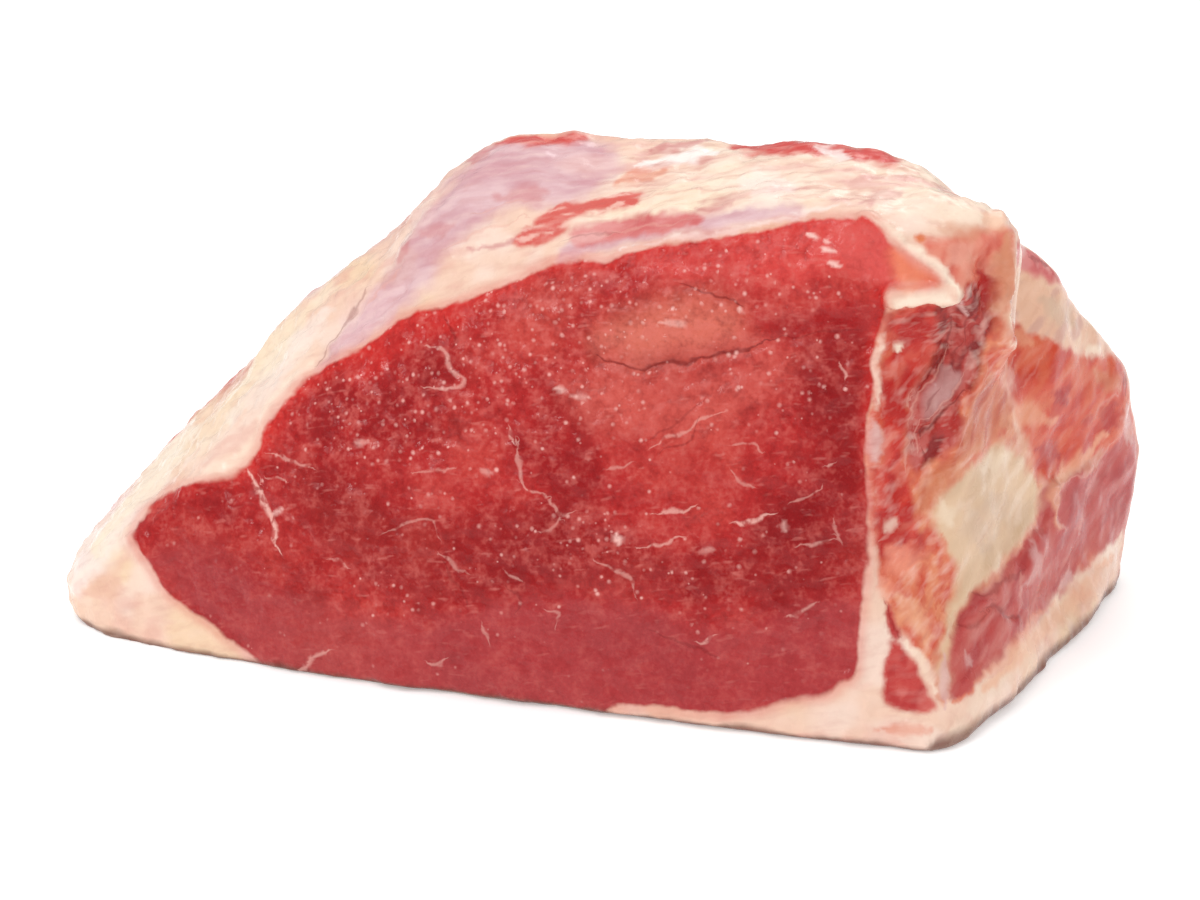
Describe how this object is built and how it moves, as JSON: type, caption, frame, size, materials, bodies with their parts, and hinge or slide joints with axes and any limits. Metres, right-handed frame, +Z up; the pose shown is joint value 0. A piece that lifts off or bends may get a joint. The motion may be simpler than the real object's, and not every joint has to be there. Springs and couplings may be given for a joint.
{
  "type": "raw beef silverside joint",
  "caption": "Boneless wedge-shaped joint of raw beef with a flat red cut face, a low fat tip, a tall fat-rimmed heel end and a skinned, rounded top, lying on its flat fat side.",
  "frame": {"origin": "centre of the joint's box, on the surface that it lies on", "axes": "+X along the cut face from the fat tip to the heel end, +Y from the cut face into the meat, +Z up"},
  "size_m": [0.268, 0.1338, 0.1298],
  "materials": {
    "meat": "moist raw beef, deep red with fine pale grain, with cream-white fat and thin lavender skin on the outside"
  },
  "bodies": {
    "root": {"beef_joint": "meat"}
  },
  "joints": []
}
